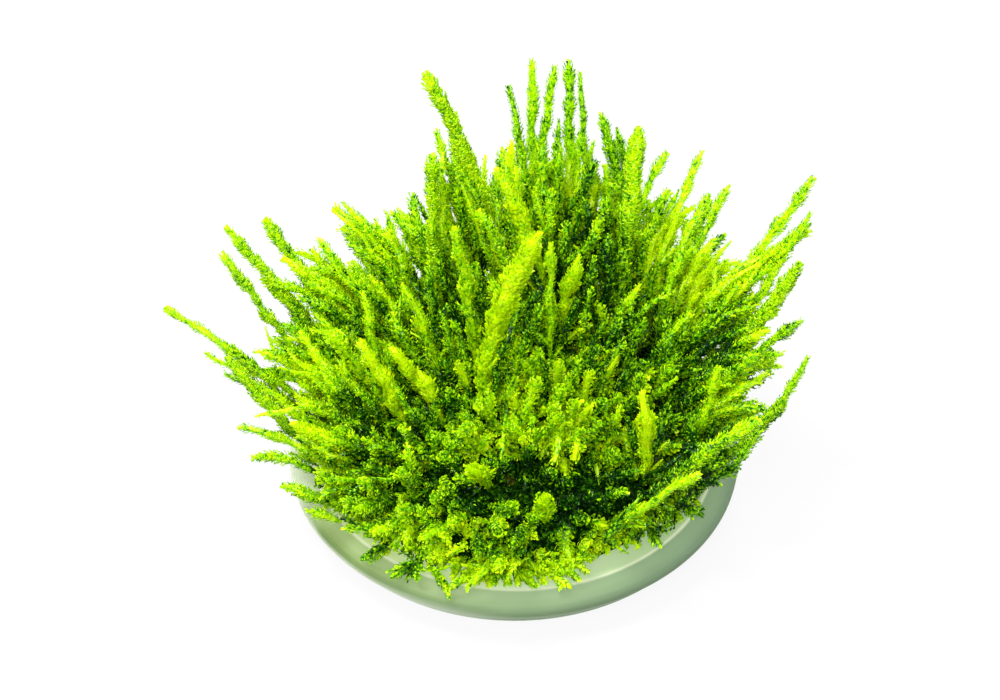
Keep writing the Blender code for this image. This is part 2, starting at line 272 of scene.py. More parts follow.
# Tufts of shoots that fill the outline between the long shoots, in millimetres: root (x, y),
# the middle of the tips (x, y, z), how many, how far apart the tips stand, and their tone
TUFTS = [
    # behind, from left to right
    ((-16, 12), (-30, 25, 38), 6, 4, 0.62),
    ((-14, 12), (-26.5, 24, 41.5), 6, 3, 0.66),
    ((-12, 13), (-21, 24, 41.5), 6, 3, 0.6),
    ((-10, 12), (-17.2, 23, 43), 6, 3, 0.5),
    ((-8, 13), (-13, 19, 45), 5, 3, 0.56),
    ((-7, 14), (-12.6, 23, 52), 4, 2, 0.6),
    ((-8, 14), (-12.2, 24, 55.8), 4, 2, 0.62),
    ((0, 14), (-3, 26, 41), 5, 4, 0.5),
    ((4, 15), (5.5, 27, 43.5), 5, 3, 0.5),
    ((8, 13), (9, 22, 38), 4, 3, 0.4),
    ((5, 16), (7.2, 27, 54.5), 5, 3, 0.6),
    ((8, 15), (10, 29, 48), 5, 4, 0.5),
    ((11, 15), (14.6, 27, 52.5), 5, 3, 0.6),
    ((13, 15), (16, 25, 47), 6, 4, 0.5),
    ((15, 14), (20, 23, 44), 6, 4, 0.55),
    ((17, 14), (25.5, 23, 43.5), 5, 3, 0.6),
    ((18, 14), (27.6, 22, 46), 4, 2, 0.62),
    ((20, 12), (30, 21, 42), 6, 3, 0.62),
    # the right, from behind to the front
    ((23, 11), (34, 18, 38), 6, 3, 0.62),
    ((24, 10), (38.5, 16, 37.5), 6, 3, 0.64),
    ((24, 9), (38, 13, 33), 5, 5, 0.62),
    ((27, 8), (44.3, 12, 41.6), 4, 3, 0.6),
    ((28, 7), (48.7, 11, 45.3), 4, 2, 0.62),
    ((26, 5), (42, 9, 36), 6, 5, 0.64),
    ((25, 2), (32, 8, 33), 5, 5, 0.5),
    ((26, 0), (44.5, 0, 33), 5, 4, 0.66),
    ((26, -2), (44.5, -2.5, 30.2), 6, 2, 0.62),
    ((26, -3), (42, -4, 28.3), 5, 3, 0.6),
    ((24, -4), (28, 0, 31), 5, 5, 0.45),
    ((26, -6), (41, -6, 28), 5, 4, 0.66),
    ((26, -7), (43.3, -7, 22.5), 4, 3, 0.56),
    ((26, -8), (38.6, -8, 22.7), 5, 3, 0.56),
    ((26, -10), (37, -11, 26), 5, 4, 0.6),
    ((24, -13), (32, -15, 20), 5, 4, 0.5),
    ((23, -17), (31, -19, 16), 5, 4, 0.6),
    ((25, -15), (32, -19.7, 13), 5, 2, 0.6),
    ((22, -19), (27, -24, 12), 5, 2, 0.62),
    # the left, from behind to the front
    ((-20, 13), (-38.6, 18, 37.2), 4, 2, 0.66),
    ((-22, 10), (-39, 16, 35.2), 4, 2, 0.7),
    ((-20, 12), (-34.5, 20, 35), 6, 4, 0.66),
    ((-17, 10), (-31, 15, 32), 5, 5, 0.58),
    ((-22, 8), (-37.5, 14, 31), 6, 3, 0.66),
    ((-24, 5), (-41.5, 6, 29), 4, 3, 0.66),
    ((-23, 6), (-38, 9, 30), 5, 6, 0.64),
    ((-24, 4), (-39, 4, 27), 4, 7, 0.66),
    ((-26, 2), (-43, 5, 25.5), 5, 3, 0.72),
    ((-26, 0), (-41, 0, 25), 4, 6, 0.66),
    ((-26, -3), (-43, -3, 25), 4, 7, 0.7),
    ((-24, -2), (-35, -2, 27), 5, 8, 0.66),
    ((-26, -6), (-36, -7, 24), 5, 6, 0.74),
    ((-25, -9), (-34, -10, 23), 5, 5, 0.7),
    ((-24, -12), (-33, -14, 19), 5, 4, 0.64),
    ((-21, -13), (-31, -15, 21), 5, 4, 0.58),
    ((-22, -17), (-31, -22, 16), 5, 4, 0.6),
    # over the front
    ((-24, -18), (-31, -25, 12), 5, 2, 0.66),
    ((-19, -20), (-26, -26, 13), 5, 3, 0.66),
    ((-18, -23), (-24, -30, 11), 5, 2, 0.66),
    ((-14, -24), (-18, -30, 12), 5, 3, 0.66),
    ((-12, -26), (-14, -34, 10.5), 5, 2, 0.62),
    ((-10, -8), (-13, -12, 24), 5, 5, 0.5),
    ((-7, -9), (-8, -15, 21), 6, 4, 0.74),
    ((-1, -9), (-2, -16, 20), 7, 4, 0.78),
    ((5, -9), (4, -16, 20), 7, 4, 0.74),
    ((10, -9), (9, -16, 20), 6, 4, 0.74),
    ((15, -9), (15, -15, 22), 5, 4, 0.6),
    ((20, -12), (22, -17, 20), 5, 4, 0.62),
    ((2, -4), (1, -9, 25), 6, 5, 0.6),
    ((8, -4), (9, -8, 25), 5, 5, 0.5),
    ((14, -3), (17, -6, 27), 5, 5, 0.5),
    ((20, -22), (23, -27, 13), 5, 3, 0.66),
    ((14, -25), (17, -30, 12), 5, 3, 0.66),
    ((-4, -25), (-5, -30, 12), 4, 3, 0.62),
    ((8, -27), (9, -32, 11), 5, 3, 0.62),
]

# Sprays that lie on the gel in front, in millimetres: root (x, y), tip (x, y, z), width
FRONT_SPRAYS = [
    ((-14.5, -32), (-10.8, -38.8, 8.6), 1.5),
    ((-4.0, -33), (-11.4, -37.2, 8.6), 1.7),
    ((-4.5, -31), (-7.5, -35.6, 8.9), 1.9),
    ((-15, -31), (-20.4, -34.2, 8.8), 1.9),
    ((-16, -30), (-16.5, -34.6, 9.0), 1.8),
    ((-20, -27), (-25.5, -30.5, 9.2), 1.9),
    ((-2, -32), (3.5, -36.0, 8.8), 2.1),
    ((1, -32), (9.0, -36.2, 8.7), 2.1),
    ((4, -31), (10.5, -34.9, 8.9), 2.0),
    ((7, -30), (12.0, -33.2, 9.0), 2.0),
    ((-1, -31), (-3.5, -35.6, 8.9), 2.0),
    ((0, -32), (0.5, -35.8, 8.8), 1.9),
    ((6, -32), (7.5, -36.8, 8.6), 1.6),
    ((-8, -31), (-10.5, -34.6, 9.0), 1.8),
    ((22, -22), (24.5, -27.0, 8.8), 1.9),
    ((28, -17), (32.0, -20.4, 9.2), 1.9),
    ((-28, -17), (-33.5, -18.5, 11.0), 2.0),
]


# ---------------------------------------------------------------- leaves and shoots


def deselect():
    if bpy.context.mode != "OBJECT":
        bpy.ops.object.mode_set(mode="OBJECT")
    bpy.ops.object.select_all(action="DESELECT")


def select_lowest_face(mesh):
    """Selects the face nearest the leaf's foot, in edit mode's face mode."""
    bpy.ops.object.mode_set(mode="OBJECT")
    lowest = min(mesh.polygons, key=lambda face: face.center.z)
    for part in (*mesh.vertices, *mesh.edges, *mesh.polygons):
        part.select = False
    lowest.select = True
    bpy.ops.object.mode_set(mode="EDIT")


def model_leaf(name, tip_start, steps, blunt=False):
    """Models one leaf of length 1 along +Z as a closed three-sided sliver with its keel at +Y.

    tip_start is the height where the tip's cone begins. Each step is a distance down from
    there and the width that the leaf has after it. A blunt leaf has its point at the foot.
    """
    deselect()
    depth = 1 - tip_start
    bpy.ops.mesh.primitive_cone_add(
        vertices=3,
        radius1=0.0 if blunt else RING_RADIUS,
        radius2=RING_RADIUS if blunt else 0.0,
        depth=depth,
        location=(0, 0, tip_start + depth / 2),
    )
    leaf = bpy.context.object
    leaf.name = name
    bpy.ops.object.transform_apply(location=True, rotation=True, scale=True)
    bpy.ops.object.mode_set(mode="EDIT")
    bpy.ops.mesh.select_mode(type="FACE")
    for distance, ratio in steps:
        select_lowest_face(leaf.data)
        bpy.ops.mesh.extrude_region_move(TRANSFORM_OT_translate={"value": (0, 0, -distance)})
        bpy.ops.transform.resize(value=(ratio, ratio, 1))
    if steps:
        bpy.ops.mesh.merge(type="CENTER")
    bpy.ops.mesh.select_all(action="SELECT")
    bpy.ops.mesh.quads_convert_to_tris()
    bpy.ops.transform.resize(value=(LEAF_WIDTH, LEAF_FLATTENING, 1))
    bpy.ops.mesh.normals_make_consistent(inside=False)
    bpy.ops.object.mode_set(mode="OBJECT")
    points = np.array([vert.co for vert in leaf.data.vertices])
    faces = np.array([list(face.vertices) for face in leaf.data.polygons])
    bpy.data.objects.remove(leaf, do_unlink=True)
    return points, faces


class Growth:
    """Leaves and stems gathered for one piece, with what colours them at each point.

    The grain is a place in millimetres in the shoot as if it were straight, along +Z.
    """

    def __init__(self, seed):
        self.rng = np.random.default_rng(seed)
        self.points = []
        self.faces = []
        self.marks = {"tone": [], "leaf_end": [], "brown": []}
        self.grains = []
        self.count = 0

    def add(self, points, faces, tones, ends, browns, grains):
        self.points.append(points)
        self.faces.append(faces + self.count)
        for key, values in zip(self.marks, (tones, ends, browns)):
            self.marks[key].append(values)
        self.grains.append(grains)
        self.count += len(points)

    def make(self, name, look, slot, *nodes, shaded=True):
        """Turns what was gathered into one piece that stands for the nodes."""
        mesh = bpy.data.meshes.new(name)
        points = np.concatenate(self.points)
        mesh.from_pydata(points, [], np.concatenate(self.faces))
        # Painted light and shade from the listed patches, unless the piece is left without it
        if shaded:
            self.marks["tone"] = [np.concatenate(self.marks["tone"]) + painted_shading_at(points)]
        for key, values in self.marks.items():
            attribute = mesh.attributes.new(key, "FLOAT", "POINT")
            attribute.data.foreach_set("value", np.concatenate(values).astype(np.float32))
        attribute = mesh.attributes.new("grain", "FLOAT_VECTOR", "POINT")
        attribute.data.foreach_set("vector", np.concatenate(self.grains).astype(np.float32).ravel())
        mesh.materials.append(look)
        mesh.update()
        piece = bpy.data.objects.new(name, mesh)
        bpy.context.collection.objects.link(piece)
        dress(piece, slot, *nodes)


def painted_shading_at(points):
    """The painted light and shade at each point: how much lighter or darker the moss is made."""
    shade = np.zeros(len(points))
    for centre, reach, amount in PAINTED_LIGHT_AND_SHADE:
        away = np.linalg.norm(points - np.array(centre) * MM, axis=1) / (reach * MM)
        shade += amount * np.exp(-(away**2))
    return shade


def dress(piece, slot, *nodes):
    """Says what a piece rides on and hides the nodes that it stands for. The slot, what it is made
    of, is not used.
    """
    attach(piece, "root")
    if nodes:
        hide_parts(*nodes)


def unit(vectors):
    return vectors / np.maximum(np.linalg.norm(vectors, axis=-1, keepdims=True), 1e-9)


def dots(first, second):
    return np.sum(first * second, axis=-1)


def turned_about(vectors, axis, angle):
    """Vectors turned about an axis by an angle."""
    axis = unit(axis)
    along = np.outer(vectors @ axis, axis)
    return along + (vectors - along) * math.cos(angle) + np.cross(axis, vectors) * math.sin(angle)


class Route:
    """A shoot's curved centreline, read by its share of the length."""

    def __init__(self, points):
        steps = np.linalg.norm(np.diff(points, axis=0), axis=1)
        reach = np.concatenate([[0], np.cumsum(steps)])
        self.length = reach[-1]
        self.shares = reach / self.length
        self.points = points
        self.headings = unit(np.gradient(points, self.shares, axis=0))

    def read(self, values, shares):
        return np.stack([np.interp(shares, self.shares, values[:, i]) for i in range(3)], 1)

    def at(self, shares):
        return self.read(self.points, shares)

    def heading(self, shares):
        return unit(self.read(self.headings, shares))


def smooth_route(points, below, rng, wobble):
    """A smooth route through a few points, led on below the first, with slight bends."""
    places = np.concatenate([[0], np.cumsum(np.linalg.norm(np.diff(points, axis=0), axis=1))])
    length = places[-1]
    degree = min(3, len(points) - 1)
    finer = np.linspace(-below / length, 1, LINE_POINTS)
    curves = [np.polyfit(places / length, points[:, i], degree) for i in range(3)]
    line = np.stack([np.polyval(curve, finer) for curve in curves], 1)
    heading = unit(line[-1] - line[0])
    side = unit(np.cross(heading, rng.normal(size=3)))
    other = np.cross(heading, side)
    fade = np.clip(np.sin(np.pi * np.clip(finer, 0, 1)), 0, 1)[:, None]
    phase = rng.uniform(0, math.tau, 2)
    waves = length / BEND_LENGTH
    bend = np.sin(math.tau * waves * finer + phase[0])[:, None] * side
    bend += np.sin(math.tau * 0.6 * waves * finer + phase[1])[:, None] * other
    return Route(line + wobble * fade * bend)


def arched_route(root, tip, arch, rng, wobble):
    """A route from root to tip that bows by a share of its length to a random side and up."""
    length = np.linalg.norm(tip - root)
    bow = unit(rng.normal(size=3)) * rng.uniform(0, arch) + UP * arch * 0.5
    middle = (root + tip) / 2 + bow * length
    return smooth_route(np.array([root, middle, tip]), 0.2 * MM, rng, wobble)


class Stations:
    """Places along a flattened shoot: the centre, the heading, and the two directions across."""

    def __init__(self, route, shares, start, twist):
        self.shares = shares
        self.centre = route.at(shares)
        self.heading = route.heading(shares)
        self.run = shares * route.length / MM
        tip = route.points[-1][:2] - MIDDLE
        outward = unit(np.array([tip[0], tip[1] - FACE_FRONT, FACE_UP]))
        side = unit(np.cross(self.heading, outward))
        face = np.cross(side, self.heading)
        angle = (start + twist * shares)[:, None]
        self.side = side * np.cos(angle) + face * np.sin(angle)
        self.face = np.cross(self.heading, self.side)

    def grain(self, points, offset):
        """The grain of points of shape (stations, points at each, 3)."""
        away = points - self.centre[:, None]
        across = dots(away, self.side[:, None]) / MM
        deep = dots(away, self.face[:, None]) / MM
        along = dots(away, self.heading[:, None]) / MM + self.run[:, None]
        return np.stack([across, deep, along + offset], -1)


def ring_faces(rings, sides):
    """Triangles between rings of points, then fans to a foot and a tip that follow the rings."""
    faces = []
    for i in range(rings - 1):
        for j in range(sides):
            a, b = sides * i + j, sides * i + (j + 1) % sides
            faces += [[a, b, b + sides], [a, b + sides, a + sides]]
    top, foot, tip = sides * (rings - 1), sides * rings, sides * rings + 1
    for j in range(sides):
        k = (j + 1) % sides
        faces += [[foot, k, j], [top + j, top + k, tip]]
    return np.array(faces)


class Shoot:
    """A slim body clothed in leaves, flattened, knobbly and a little twisted."""

    def __init__(self, growth, route, width, tone, style, turn, brown):
        rng = growth.rng
        self.growth = growth
        self.route = route
        self.width = width
        self.tone = tone
        self.style = style
        self.brown = brown
        self.knob_places = np.arange(0, 1.01, min(0.3, KNOB_LENGTH / route.length))
        self.knobs = 1 + style["knobs"] * rng.uniform(-1, 1, len(self.knob_places))
        self.turn = rng.uniform(-0.7, 0.7) if turn is None else turn
        self.twist = rng.uniform(-0.5, 0.5)
        self.offset = rng.uniform(0, 500)

    def halves(self, shares):
        """Half the shoot's width at shares of its length."""
        form = np.interp(shares, FORM_PLACES, self.style["form"])
        form = form * np.interp(shares, self.knob_places, self.knobs)
        to_tip = np.clip((1 - shares) * self.route.length / TIP_LENGTH, 0, 1)
        return 0.5 * self.width * form * (0.2 + 0.8 * np.sqrt(to_tip))

    def stations(self, shares):
        return Stations(self.route, shares, self.turn, self.twist)

    def tones(self, shares):
        return self.tone + TIP_LIGHT * (shares - OWN_TONE_PLACE)

    def add_body(self):
        """The inner leaves pressed round the stem, as one body that is pointed at both ends."""
        sides = self.style["sides"]
        length = self.route.length
        rings = max(4, int(length / self.style["step"]))
        lasts = 1 - np.array([1.3, 0.35]) * MM / length
        shares = np.concatenate([np.linspace(0.01, lasts[0], rings - 1), lasts[1:]])
        sizes = self.style["core"] * self.halves(shares) * self.growth.rng.uniform(0.92, 1.08, rings)
        stations = self.stations(shares)
        around = np.arange(sides) * math.tau / sides
        ring = stations.side[:, None] * np.cos(around)[None, :, None]
        ring = ring + SHOOT_DEPTH * stations.face[:, None] * np.sin(around)[None, :, None]
        rounds = stations.centre[:, None] + ring * sizes[:, None, None]
        ends = self.route.at(np.array([0.0, 1.0]))
        points = np.concatenate([rounds.reshape(-1, 3), ends])
        grains = stations.grain(rounds, self.offset).reshape(-1, 3)
        end_grains = np.array([[0, 0, self.offset], [0, 0, self.offset + length / MM]])
        shares = np.concatenate([np.repeat(shares, sides), [0, 1]])
        self.growth.add(
            points,
            ring_faces(rings, sides),
            self.tones(shares) - 0.05,
            np.full(len(points), 0.3),
            np.clip(self.brown + 0.5 * (0.15 - shares), 0, 1),
            np.concatenate([grains, end_grains]),
        )

    def leaf_shares(self, count):
        """Places of leaves along the shoot: closer together where it is thicker."""
        skin = self.halves(SAMPLES) * np.clip(0.35 + 2.2 * SAMPLES, 0, 1)
        reach = np.concatenate([[0], np.cumsum((skin[1:] + skin[:-1]) / 2)])
        picks = (np.arange(count) + self.growth.rng.uniform(0.05, 0.95, count)) / count
        shares = np.interp(picks, reach / reach[-1], SAMPLES)
        return np.minimum(shares, 1 - SHORTEST_LEAF / self.route.length)

    def leaf_sizes(self, shares, angles):
        """How far each leaf's foot is from the centreline, its length and its angle to the stem."""
        rng = self.growth.rng
        style = self.style
        to_tip = np.clip((1 - shares) * self.route.length / CLOSING_LENGTH, 0, 1)
        lean = TIP_ANGLE + (math.radians(style["angle"]) - TIP_ANGLE) * to_tip
        half = self.halves(shares)
        foot = half * style["core"] * 0.85
        lengths = np.clip((half - foot) / np.sin(lean), SHORTEST_LEAF, style["longest"])
        lengths = lengths * (1 + style["uneven"] * rng.uniform(-0.8, 1, len(shares)))
        lean = lean * (FLATNESS + (1 - FLATNESS) * np.abs(np.cos(angles)))
        return foot, lengths, lean + rng.normal(0, style["uneven"], len(shares))

    def add_leaves(self, leaf):
        """Leaves set around the shoot on the golden angle."""
        rng = self.growth.rng
        shape, faces = leaf
        skin = math.tau * np.mean(self.halves(SAMPLES)) * self.route.length / MM**2
        count = max(FEWEST_LEAVES, int(skin * self.style["density"]))
        shares = self.leaf_shares(count)
        stations = self.stations(shares)
        angles = np.arange(count) * GOLDEN_ANGLE + rng.uniform(-0.35, 0.35, count)
        foot, lengths, lean = self.leaf_sizes(shares, angles)
        spread = np.cos(angles)[:, None] * stations.side
        spread = spread + SHOOT_DEPTH * np.sin(angles)[:, None] * stations.face
        outward = unit(spread)
        along = unit(np.cos(lean)[:, None] * stations.heading + np.sin(lean)[:, None] * outward)
        keel = unit(outward - dots(outward, along)[:, None] * along)
        feet = stations.centre + spread * foot[:, None]
        points = leaf_points(shape, feet, along, keel, lengths, rng)
        repeated = faces[None] + (np.arange(count) * len(shape))[:, None, None]
        tones = self.tones(shares) + rng.normal(0, self.style["tones"], count)
        browns = np.clip(0.3 - shares, 0, 1) * rng.uniform(0, 1, count) ** 2
        self.growth.add(
            points.reshape(-1, 3),
            repeated.reshape(-1, 3),
            np.repeat(tones, len(shape)),
            np.tile(shape[:, 2], count),
            np.repeat(np.clip(self.brown + browns, 0, 1), len(shape)),
            stations.grain(points, self.offset).reshape(-1, 3),
        )


def leafy_shoot(growth, leaf, route, width, tone, style, turn=None, brown=0.0):
    """Adds one leafy shoot to a growth, its flat faces turned by an angle or at random."""
    shoot = Shoot(growth, route, width, tone, style, turn, brown)
    shoot.add_body()
    shoot.add_leaves(leaf)


def leaf_points(shape, feet, along, keel, lengths, rng):
    """The points of copies of a leaf, each from its foot along one direction, keel outwards."""
    side = np.cross(along, keel)
    broad = lengths * rng.uniform(0.85, 1.2, len(feet))
    rise = shape[None, :, 1] - LEAF_CURVE * shape[None, :, 2] ** 2
    points = feet[:, None] + shape[None, :, 0, None] * (side * broad[:, None])[:, None]
    points = points + rise[..., None] * (keel * lengths[:, None])[:, None]
    return points + shape[None, :, 2, None] * (along * lengths[:, None])[:, None]


def side_shoots(growth, leaf, route, width, tone, style, shares):
    """Small side shoots at some shares of a shoot's length."""
    rng = growth.rng
    for share in shares:
        place = np.array([np.clip(share + rng.uniform(-0.04, 0.04), 0, 0.95)])
        start = route.at(place)[0]
        heading = route.heading(place)[0]
        side = Stations(route, place, rng.uniform(-0.8, 0.8), 0).side[0] * rng.choice([-1, 1])
        length = rng.uniform(*SIDE_LENGTHS) * width * (1.2 - share)
        lean = rng.uniform(*SIDE_LEANS)
        tip = start + unit(heading + side * lean) * length + heading * length * 0.2
        small = arched_route(start, tip, 0.08, rng, 0.05 * MM)
        leafy_shoot(growth, leaf, small, width * rng.uniform(*SIDE_WIDTHS), tone - 0.03, style)


# ---------------------------------------------------------------- reading the frame

SHOOT_SIDES = 5  # of every shoot in the solids
TALLEST_SHOOT = 12  # rings, more than any long shoot's solid has
SHORT_TIP = 1.2 * MM  # the least height of a short shoot's tip over its last ring
SHORT_RADIUS = 2 * MM  # more than any short shoot's
EVEN_SPOKES = 1.25  # a shoot's ring has spokes of nearly one length
FLOOR_RINGS = (0.0, 1.3 * MM, 2.6 * MM)  # radii of the rays that look for the mat's floor
FLOOR_RAYS = 8
ABOVE_ALL = 100 * MM  # higher than any shoot
BEYOND_MAT = 45  # millimetres, farther out than the mat


def merged_mesh(node):
    """A CAD node's points with doubles merged, its triangles, and each point's neighbours."""
    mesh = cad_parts[node].data
    raw = np.array([vert.co for vert in mesh.vertices])
    keys = np.round(raw / (0.002 * MM)).astype(np.int64)
    _, first, inverse = np.unique(keys, axis=0, return_index=True, return_inverse=True)
    inverse = inverse.reshape(-1)
    mesh.calc_loop_triangles()
    faces = np.array([[inverse[i] for i in tri.vertices] for tri in mesh.loop_triangles])
    neighbours = [set() for _ in first]
    for a, b, c in faces:
        neighbours[a].update((b, c))
        neighbours[b].update((a, c))
        neighbours[c].update((a, b))
    return raw[first], faces, neighbours


def rings_from(apex, neighbours, limit):
    """The rings of points around an apex, ring after ring, as long as they are a shoot's."""
    seen = {apex}
    ring = {apex}
    rings = []
    while len(rings) < limit:
        ring = {n for point in ring for n in neighbours[point]} - seen
        if len(ring) != SHOOT_SIDES:
            break
        seen |= ring
        rings.append(sorted(ring))
    return rings


def read_long_shoot(node):
    """The ring centres of a long shoot's solid, from foot to tip, and its greatest width."""
    points, _, neighbours = merged_mesh(node)
    for apex in range(len(points)):
        rings = rings_from(apex, neighbours, TALLEST_SHOOT)
        if 1 + SHOOT_SIDES * len(rings) == len(points):
            centres = [points[ring].mean(0) for ring in reversed(rings)]
            spokes = [points[ring] - points[ring].mean(0) for ring in rings]
            width = 2 * max(np.linalg.norm(spoke, axis=1).max() for spoke in spokes)
            return np.array(centres + [points[apex]]), width
    raise ValueError(f"{node} isn't a shoot")


def short_routes(points, neighbours):
    """The centrelines of the short shoots in the mat's solid, each from foot to tip."""
    found = []
    for apex in range(len(points)):
        rings = rings_from(apex, neighbours, 2)
        if len(rings) < 2:
            continue
        centres = [points[ring].mean(0) for ring in rings]
        spokes = np.linalg.norm(points[rings[0]] - centres[0], axis=1)
        round_enough = spokes.max() < EVEN_SPOKES * spokes.min()
        rise = np.linalg.norm(points[apex] - centres[0])
        if rise > SHORT_TIP and round_enough and spokes.max() < SHORT_RADIUS:
            heading = unit(centres[0] - centres[1])
            root = centres[1] - heading * 3 * MM
            found.append(np.array([root, centres[1], centres[0], points[apex]]))
    return found


class Mat:
    """The mat's solid, asked for its height and its edge."""

    def __init__(self):
        self.points, faces, self.neighbours = merged_mesh("moss_mat")
        corners = [Vector(point) for point in self.points]
        self.tree = BVHTree.FromPolygons(corners, [[int(i) for i in face] for face in faces])
        self.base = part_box("moss_mat")[0].z

    def floor(self, x, y):
        """The height between the shoots: the lowest that some rays down around a place find."""
        lowest = None
        for ring in FLOOR_RINGS:
            for k in range(FLOOR_RAYS if ring else 1):
                angle = k * math.tau / FLOOR_RAYS
                start = Vector((x + ring * math.cos(angle), y + ring * math.sin(angle), ABOVE_ALL))
                hit = self.tree.ray_cast(start, Vector((0, 0, -1)))[0]
                if hit is not None and (lowest is None or hit.z < lowest):
                    lowest = hit.z
        return lowest

    def edge(self, angle):
        """How far out the mat reaches at an angle, low down."""
        outward = Vector((math.cos(angle), math.sin(angle), 0))
        start = outward * BEYOND_MAT * MM + Vector((0, 0, self.base + 1 * MM))
        hit = self.tree.ray_cast(start, -outward)[0]
        return math.hypot(hit.x, hit.y)


def in_hollow(x, y):
    return bool(np.sum(((np.array([x, y]) - HOLLOW) / HOLLOW_REACH) ** 2) < 1)


def within_edge(tip):
    """A tip's place, moved in if it is beyond where the moss ends over the gel."""
    angle = math.degrees(math.atan2(tip[1], tip[0]))
    limit = (np.interp(angle, EDGE_ANGLES, EDGE_RADII) - EDGE_MARGIN) * MM
    share = min(1, limit / math.hypot(tip[0], tip[1]))
    return tip * np.array([share, share, 1])


def side_painted_light(x):
    """Painted light at the left and painted shade at the right: how much lighter or darker moss is
    made.
    """
    left = np.clip(-(x + LEFT_START) / SIDE_REACH, 0, 1)
    right = np.clip(x / SIDE_REACH, 0, 1)
    return LEFT_PAINTED_LIGHT * left - RIGHT_PAINTED_SHADE * right


# ---------------------------------------------------------------- materials


class Looks:
    """A short way to write a material's nodes."""

    def __init__(self, name):
        self.material = bpy.data.materials.new(name)
        self.material.use_nodes = True
        self.tree = self.material.node_tree
        self.shader = self.tree.nodes["Principled BSDF"]
        self.output = self.tree.nodes["Material Output"]

    def node(self, kind, **settings):
        made = self.tree.nodes.new(kind)
        for key, value in settings.items():
            setattr(made, key, value)
        return made

    def link(self, source, target):
        self.tree.links.new(source, target)

    def finish(self, **values):
        """Sets the shader's inputs, named with _ for each space, to plain values."""
        for name, value in values.items():
            self.shader.inputs[name.replace("_", " ")].default_value = value

    def attribute(self, name, output="Fac"):
        return self.node("ShaderNodeAttribute", attribute_name=name).outputs[output]

    def place(self):
        return self.node("ShaderNodeTexCoord").outputs["Object"]

    def stretched(self, where, scale):
        mapping = self.node("ShaderNodeMapping")
        mapping.inputs["Scale"].default_value = scale
        self.link(where, mapping.inputs["Vector"])
        return mapping.outputs["Vector"]

    def noise(self, where, scale, detail=2.0):
        """Noise about 0, from -0.5 to 0.5."""
        made = self.node("ShaderNodeTexNoise")
        made.inputs["Scale"].default_value = scale
        made.inputs["Detail"].default_value = detail
        self.link(where, made.inputs["Vector"])
        return self.math("SUBTRACT", made.outputs["Fac"], 0.5)

    def cells(self, where, scale):
        """The distance to the middle of the nearest cell, and a colour for each cell."""
        made = self.node("ShaderNodeTexVoronoi")
        made.inputs["Scale"].default_value = scale
        self.link(where, made.inputs["Vector"])
        return made.outputs["Distance"], made.outputs["Color"]

    def math(self, operation, first, second, clamp=False):
        made = self.node("ShaderNodeMath", operation=operation, use_clamp=clamp)
        for socket, value in zip(made.inputs, (first, second)):
            if isinstance(value, (int, float)):
                socket.default_value = value
            else:
                self.link(value, socket)
        return made.outputs[0]

    def sum(self, *terms):
        """The sum of (value, weight) terms, kept between 0 and 1."""
        total = 0.0
        for value, weight in terms:
            total = self.math("ADD", self.math("MULTIPLY", value, weight), total)
        return self.math("ADD", total, 0.0, clamp=True)

    def ramp(self, value, stops):
        made = self.node("ShaderNodeValToRGB")
        band = made.color_ramp
        while len(band.elements) < len(stops):
            band.elements.new(0.5)
        for element, (place, colour) in zip(band.elements, stops):
            element.position = place
            element.color = (*colour, 1)
        self.link(value, made.inputs["Fac"])
        return made.outputs["Color"]

    def mix(self, share, first, second):
        made = self.node("ShaderNodeMix", data_type="RGBA")
        for key, value in ((0, share), (6, first), (7, second)):
            if isinstance(value, tuple):
                made.inputs[key].default_value = (*value, 1)
            elif isinstance(value, float):
                made.inputs[key].default_value = value
            else:
                self.link(value, made.inputs[key])
        return made.outputs[2]

    def bump(self, height, strength, distance):
        made = self.node("ShaderNodeBump")
        made.inputs["Strength"].default_value = strength
        made.inputs["Distance"].default_value = distance
        self.link(height, made.inputs["Height"])
        self.link(made.outputs["Normal"], self.shader.inputs["Normal"])


LEAF_GREENS = [
    (0.0, (0.002, 0.025, 0.001)),
    (0.2, (0.018, 0.14, 0.001)),
    (0.5, (0.25, 0.60, 0.002)),
    (0.75, (0.54, 0.80, 0.002)),
    (1.0, (0.67, 0.85, 0.003)),
]
THROUGH_GREENS = [
    (0.0, (0.008, 0.08, 0.001)),
    (0.2, (0.07, 0.33, 0.001)),
    (0.5, (0.42, 0.80, 0.001)),
    (0.75, (0.66, 0.89, 0.001)),
    (1.0, (0.76, 0.91, 0.002)),
]
OLD_BROWN = (0.10, 0.085, 0.01)
LIGHT_THROUGH = 0.42  # the share of a leaf's light that comes through it from behind
WET_BENDING = 1.34  # how strongly wet leaves and gel bend light

# What is added to a shoot's tone to give a leaf's: the small overlapping leaves, which are
# cells in the grain with painted light in their middles and painted shade in the gaps between
# them, then noise in the clump and in the grain, and the leaf's lighter end
CELL_SCALE = 2.2
CELL_STRETCH = (1, 1, 0.62)
CELL_PAINTED_LIGHT_AND_SHADE = (0.42, 0.85)  # painted light in a cell's middle, painted shade at its edge: the distance that adds nothing, and the weight
CELL_TONE = 0.32
CLUMP_NOISE = (110, 0.5)  # scale and weight, as for the next two
LEAF_NOISE = (420, 0.6)
GRAIN_NOISE = (5, 0.5)
LEAF_END = (0.4, 0.13)  # the share of a leaf's length that adds nothing, and the weight


